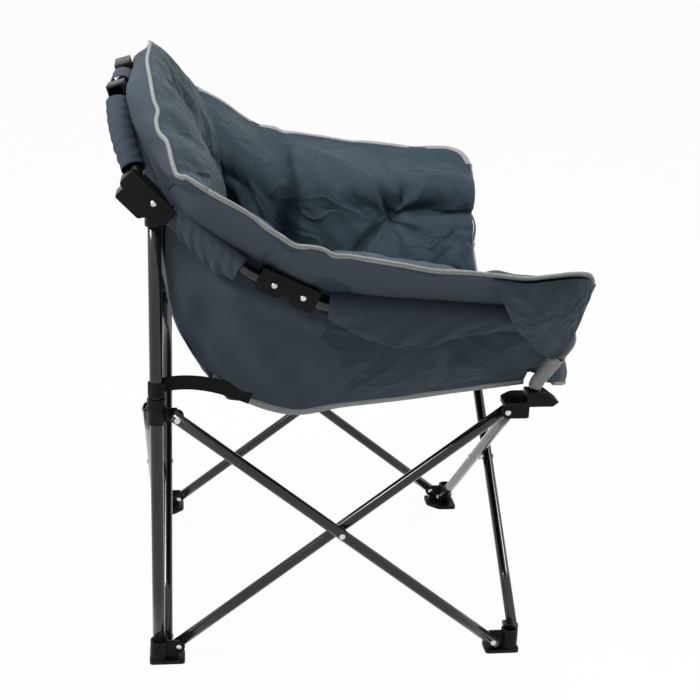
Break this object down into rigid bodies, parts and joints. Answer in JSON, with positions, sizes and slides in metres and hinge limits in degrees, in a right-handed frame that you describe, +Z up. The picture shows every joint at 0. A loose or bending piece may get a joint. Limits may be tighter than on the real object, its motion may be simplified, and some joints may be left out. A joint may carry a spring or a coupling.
{
  "type": "folding camp chair",
  "caption": "Padded tub camp chair in slate blue cloth on a folding black tube frame with crossed braces, jointed arm rails and moulded feet.",
  "frame": {"origin": "on the floor, under the middle of the chair's outside box", "axes": "+Z up, chair faces -Y, +X is the sitter's left"},
  "size_m": [0.924, 0.7108, 0.898],
  "materials": {
    "tube_paint": "gloss black enamel on thin steel tube",
    "moulding": "fine-grained black moulding",
    "rivet": "bright domed rivet",
    "pad_cloth": "slate blue woven cloth over padding",
    "shell_cloth": "slate blue woven cloth, single layer",
    "webbing": "black webbing"
  },
  "bodies": {
    "rear_left": {"rear_leg_left": "tube_paint", "rear_foot_left": "moulding", "top_bracket_left": "moulding", "rear_foot_rivet_side_left": "rivet", "rear_foot_rivet_end_left": "rivet", "arm_cushion_left": "pad_cloth", "side_panel_left": "shell_cloth"},
    "rear_right": {"rear_leg_right": "tube_paint", "rear_foot_right": "moulding", "top_bracket_right": "moulding", "rear_foot_rivet_side_right": "rivet", "rear_foot_rivet_end_right": "rivet", "arm_cushion_right": "pad_cloth", "side_panel_right": "shell_cloth"},
    "rear_outer": {"rear_brace_outer": "tube_paint", "rear_cross_rivet": "rivet"},
    "rear_inner": {"rear_brace_inner": "tube_paint"},
    "side_inner_left": {"side_brace_inner_left": "tube_paint", "side_cross_rivet_left": "rivet"},
    "side_outer_left": {"side_brace_outer_left": "tube_paint"},
    "slider_left": {"slider_left": "moulding", "slider_rivet_side_left": "rivet", "slider_rivet_end_left": "rivet", "strap_left": "webbing"},
    "front_foot_left": {"front_foot_left": "moulding", "front_foot_rivet_side_left": "rivet", "front_foot_rivet_end_left": "rivet"},
    "front_bracket_left": {"front_bracket_left": "moulding", "front_bracket_rivet_side_left": "rivet", "front_bracket_rivet_end_left": "rivet"},
    "side_inner_right": {"side_brace_inner_right": "tube_paint", "side_cross_rivet_right": "rivet"},
    "side_outer_right": {"side_brace_outer_right": "tube_paint"},
    "slider_right": {"slider_right": "moulding", "slider_rivet_side_right": "rivet", "slider_rivet_end_right": "rivet", "strap_right": "webbing"},
    "front_foot_right": {"front_foot_right": "moulding", "front_foot_rivet_side_right": "rivet", "front_foot_rivet_end_right": "rivet"},
    "front_bracket_right": {"front_bracket_right": "moulding", "front_bracket_rivet_side_right": "rivet", "front_bracket_rivet_end_right": "rivet"},
    "front_inner": {"front_brace_inner": "tube_paint", "front_cross_rivet": "rivet"},
    "front_outer": {"front_brace_outer": "tube_paint"},
    "arm_rear_tube_left": {"arm_rear_tube_left": "tube_paint"},
    "arm_knuckle_left": {"arm_knuckle_left": "moulding"},
    "arm_front_tube_left": {"arm_front_tube_left": "tube_paint"},
    "arm_rear_tube_right": {"arm_rear_tube_right": "tube_paint"},
    "arm_knuckle_right": {"arm_knuckle_right": "moulding"},
    "arm_front_tube_right": {"arm_front_tube_right": "tube_paint"},
    "back_upright_left": {"back_upright_left": "tube_paint"},
    "back_upright_right": {"back_upright_right": "tube_paint"},
    "back_top": {"back_knuckle_left": "moulding", "back_knuckle_right": "moulding", "back_top_bar": "tube_paint", "back_cushion": "pad_cloth", "back_panel": "shell_cloth"},
    "seat": {"seat_cushion": "pad_cloth"}
  },
  "joints": [
    {"name": "fold", "type": "hinge", "parent": "rear_left", "child": "rear_outer", "pos_m": [0.245, 0.29938, 0.023], "axis": [0, 1, 0], "range_deg": [0, 34], "deforming": ["back_cushion", "back_panel", "seat_cushion", "arm_cushion_left", "arm_cushion_right", "side_panel_left", "side_panel_right", "strap_left", "strap_right"]},
    {"name": "rear_crossing", "type": "hinge", "parent": "rear_outer", "child": "rear_inner", "pos_m": [0, 0.28758, 0.2135], "axis": [0, 1, 0], "range_deg": [-68.02, 0]},
    {"name": "rear_right_foot_pivot", "type": "hinge", "parent": "rear_inner", "child": "rear_right", "pos_m": [-0.245, 0.27578, 0.023], "axis": [0, 1, 0], "range_deg": [0, 34.02]},
    {"name": "side_foot_pivot_left", "type": "hinge", "parent": "rear_left", "child": "side_inner_left", "pos_m": [0.2632, 0.25758, 0.023], "axis": [-1, 0, 0], "range_deg": [0, 34.02]},
    {"name": "side_crossing_left", "type": "hinge", "parent": "side_inner_left", "child": "side_outer_left", "pos_m": [0.275, 0.01258, 0.2135], "axis": [1, 0, 0], "range_deg": [0, 68.02]},
    {"name": "slider_pivot_left", "type": "hinge", "parent": "side_outer_left", "child": "slider_left", "pos_m": [0.2868, 0.25758, 0.404], "axis": [1, 0, 0], "range_deg": [-34.02, 0]},
    {"name": "front_foot_pivot_left", "type": "hinge", "parent": "side_outer_left", "child": "front_foot_left", "pos_m": [0.2868, -0.23242, 0.023], "axis": [1, 0, 0], "range_deg": [-34.02, 0]},
    {"name": "front_bracket_pivot_left", "type": "hinge", "parent": "side_inner_left", "child": "front_bracket_left", "pos_m": [0.2632, -0.23242, 0.404], "axis": [1, 0, 0], "range_deg": [0, 34.02]},
    {"name": "side_foot_pivot_right", "type": "hinge", "parent": "rear_right", "child": "side_inner_right", "pos_m": [-0.2632, 0.25758, 0.023], "axis": [-1, 0, 0], "range_deg": [0, 34.02]},
    {"name": "side_crossing_right", "type": "hinge", "parent": "side_inner_right", "child": "side_outer_right", "pos_m": [-0.275, 0.01258, 0.2135], "axis": [1, 0, 0], "range_deg": [0, 68.02]},
    {"name": "slider_pivot_right", "type": "hinge", "parent": "side_outer_right", "child": "slider_right", "pos_m": [-0.2868, 0.25758, 0.404], "axis": [1, 0, 0], "range_deg": [-34.02, 0]},
    {"name": "front_foot_pivot_right", "type": "hinge", "parent": "side_outer_right", "child": "front_foot_right", "pos_m": [-0.2868, -0.23242, 0.023], "axis": [1, 0, 0], "range_deg": [-34.02, 0]},
    {"name": "front_bracket_pivot_right", "type": "hinge", "parent": "side_inner_right", "child": "front_bracket_right", "pos_m": [-0.2632, -0.23242, 0.404], "axis": [1, 0, 0], "range_deg": [0, 34.02]},
    {"name": "front_brace_pivot", "type": "hinge", "parent": "front_foot_left", "child": "front_inner", "pos_m": [0.245, -0.25062, 0.023], "axis": [0, 1, 0], "range_deg": [0, 34.02]},
    {"name": "front_crossing", "type": "hinge", "parent": "front_inner", "child": "front_outer", "pos_m": [0, -0.26242, 0.2135], "axis": [0, 1, 0], "range_deg": [-68.02, 0]},
    {"name": "arm_rear_pivot_left", "type": "hinge", "parent": "rear_left", "child": "arm_rear_tube_left", "pos_m": [0.289, 0.28758, 0.724], "axis": [-1, 0, 0], "range_deg": [0, 133.8]},
    {"name": "arm_knuckle_rear_left", "type": "hinge", "parent": "arm_rear_tube_left", "child": "arm_knuckle_left", "pos_m": [0.329, 0.12458, 0.6235], "axis": [-1, 0, 0], "range_deg": [-77.44, 0]},
    {"name": "arm_knuckle_front_left", "type": "hinge", "parent": "arm_knuckle_left", "child": "arm_front_tube_left", "pos_m": [0.329, 0.08458, 0.6055], "axis": [-1, 0, 0], "range_deg": [-77.44, 0]},
    {"name": "arm_rear_pivot_right", "type": "hinge", "parent": "rear_right", "child": "arm_rear_tube_right", "pos_m": [-0.289, 0.28758, 0.724], "axis": [-1, 0, 0], "range_deg": [0, 133.8]},
    {"name": "arm_knuckle_rear_right", "type": "hinge", "parent": "arm_rear_tube_right", "child": "arm_knuckle_right", "pos_m": [-0.329, 0.12458, 0.6235], "axis": [-1, 0, 0], "range_deg": [-77.44, 0]},
    {"name": "arm_knuckle_front_right", "type": "hinge", "parent": "arm_knuckle_right", "child": "arm_front_tube_right", "pos_m": [-0.329, 0.08458, 0.6055], "axis": [-1, 0, 0], "range_deg": [-77.44, 0]},
    {"name": "back_pivot_left", "type": "hinge", "parent": "rear_left", "child": "back_upright_left", "pos_m": [0.268, 0.30908, 0.75], "axis": [0, 0.9563, -0.2923], "range_deg": [0, 59.31]},
    {"name": "back_pivot_right", "type": "hinge", "parent": "rear_right", "child": "back_upright_right", "pos_m": [-0.268, 0.30908, 0.75], "axis": [0, -0.9563, 0.2923], "range_deg": [0, 59.31]},
    {"name": "back_elbow_left", "type": "hinge", "parent": "back_upright_left", "child": "back_top", "pos_m": [0.142, 0.33858, 0.8465], "axis": [0, 0.9563, -0.2923], "range_deg": [-59.31, 0]},
    {"name": "seat_seam", "type": "hinge", "parent": "back_top", "child": "seat", "pos_m": [0, 0.20258, 0.44], "axis": [-1, 0, 0], "range_deg": [0, 68.02]}
  ],
  "couplings": [
    {"joint": "rear_crossing", "follows": "fold", "ratio": -2},
    {"joint": "rear_right_foot_pivot", "follows": "fold", "ratio": 1},
    {"joint": "side_foot_pivot_left", "follows": "fold", "ratio": 1},
    {"joint": "side_crossing_left", "follows": "fold", "ratio": 2},
    {"joint": "slider_pivot_left", "follows": "fold", "ratio": -1},
    {"joint": "front_foot_pivot_left", "follows": "fold", "ratio": -1},
    {"joint": "front_bracket_pivot_left", "follows": "fold", "ratio": 1},
    {"joint": "side_foot_pivot_right", "follows": "fold", "ratio": 1},
    {"joint": "side_crossing_right", "follows": "fold", "ratio": 2},
    {"joint": "slider_pivot_right", "follows": "fold", "ratio": -1},
    {"joint": "front_foot_pivot_right", "follows": "fold", "ratio": -1},
    {"joint": "front_bracket_pivot_right", "follows": "fold", "ratio": 1},
    {"joint": "front_brace_pivot", "follows": "fold", "ratio": 1},
    {"joint": "front_crossing", "follows": "fold", "ratio": -2},
    {"joint": "arm_rear_pivot_left", "follows": "fold", "ratio": 3.9348},
    {"joint": "arm_knuckle_rear_left", "follows": "fold", "ratio": -2.2772},
    {"joint": "arm_knuckle_front_left", "follows": "fold", "ratio": -2.2772},
    {"joint": "arm_rear_pivot_right", "follows": "fold", "ratio": 3.9348},
    {"joint": "arm_knuckle_rear_right", "follows": "fold", "ratio": -2.2772},
    {"joint": "arm_knuckle_front_right", "follows": "fold", "ratio": -2.2772},
    {"joint": "back_pivot_left", "follows": "fold", "ratio": 1.7438},
    {"joint": "back_pivot_right", "follows": "fold", "ratio": 1.7438},
    {"joint": "back_elbow_left", "follows": "fold", "ratio": -1.7438},
    {"joint": "seat_seam", "follows": "fold", "ratio": 2}
  ]
}
